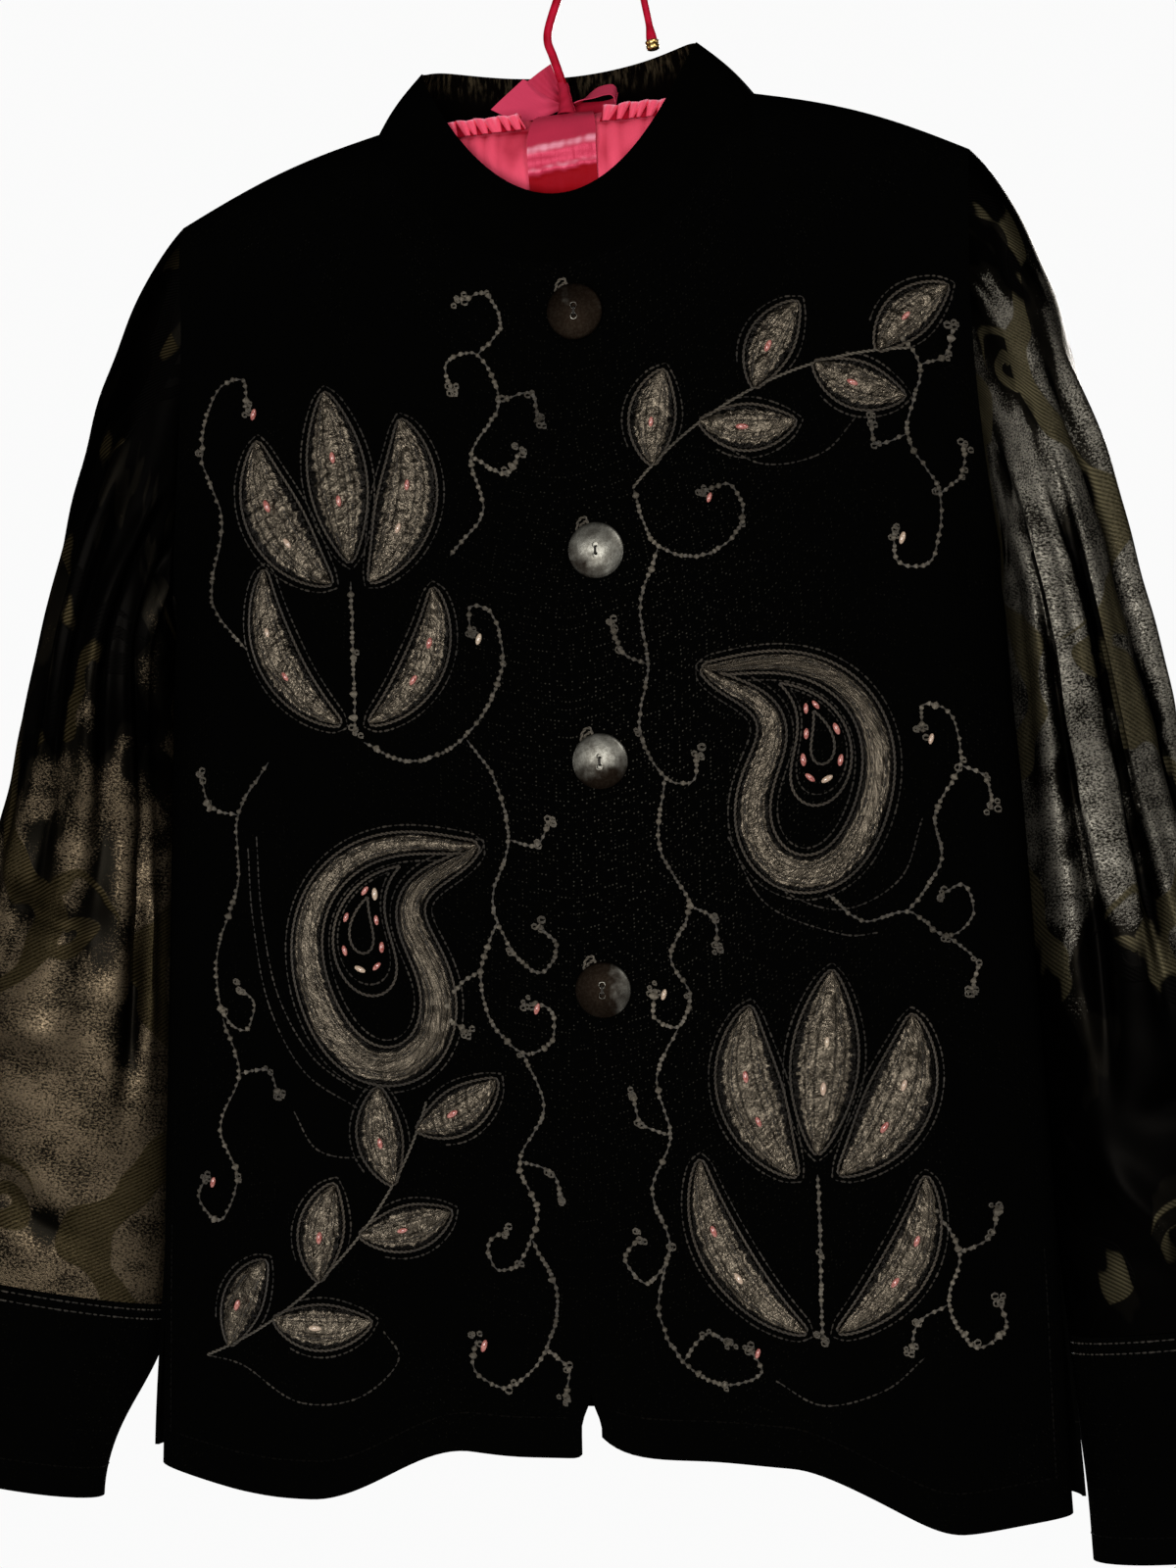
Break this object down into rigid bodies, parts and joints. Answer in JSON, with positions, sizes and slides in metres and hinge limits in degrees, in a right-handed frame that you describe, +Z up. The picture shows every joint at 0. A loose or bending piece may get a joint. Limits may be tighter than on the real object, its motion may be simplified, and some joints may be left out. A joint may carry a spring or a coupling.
{
  "type": "embroidered jacket on a padded satin hanger",
  "caption": "Black stand-collar jacket with satin jacquard sleeves, plain cuffs, domed buttons and raised satin appliqué, hanging on a padded pink satin hanger with a ribbon bow and a covered hook.",
  "frame": {"origin": "the point inside the top of the hook's bend, where a rod carries the hanger", "axes": "+Z up, +X to the right of a viewer who faces the jacket's front, +Y from the front to the back"},
  "size_m": [0.8415, 0.113, 0.8274],
  "materials": {
    "cloth": "black plain weave",
    "jacquard": "grey-olive satin jacquard",
    "applique": "grey-brown satin",
    "button": "mottled pewter grey",
    "pink_satin": "pink satin",
    "red_tube": "crimson sleeve over a wire",
    "gold": "polished"
  },
  "bodies": {
    "root": {"front_right": "cloth", "front_left": "cloth", "back": "cloth", "sleeve_right_front": "jacquard", "sleeve_right_back": "jacquard", "sleeve_left_front": "jacquard", "sleeve_left_back": "jacquard", "cuff_right": "cloth", "cuff_left": "cloth", "collar": "cloth", "button_1": "button", "button_2": "button", "button_3": "button", "button_4": "button", "leaf_right_1": "applique", "leaf_right_2": "applique", "leaf_right_3": "applique", "leaf_right_4": "applique", "leaf_right_5": "applique", "leaf_right_6": "applique", "leaf_left_1": "applique", "leaf_left_2": "applique", "leaf_left_3": "applique", "leaf_left_4": "applique", "leaf_left_5": "applique", "petal_right_1": "applique", "petal_right_2": "applique", "petal_right_3": "applique", "petal_left_1": "applique", "petal_left_2": "applique", "petal_left_3": "applique", "blade_right_1": "applique", "blade_right_2": "applique", "blade_left_1": "applique", "blade_left_2": "applique", "paisley_right": "applique", "paisley_left": "applique", "hanger_pad": "pink_satin", "hanger_ribbon": "pink_satin", "hanger_ruffle_right": "pink_satin", "hanger_ruffle_left": "pink_satin", "hanger_bow": "pink_satin", "hanger_hook": "red_tube", "hanger_tip": "gold"}
  },
  "joints": []
}
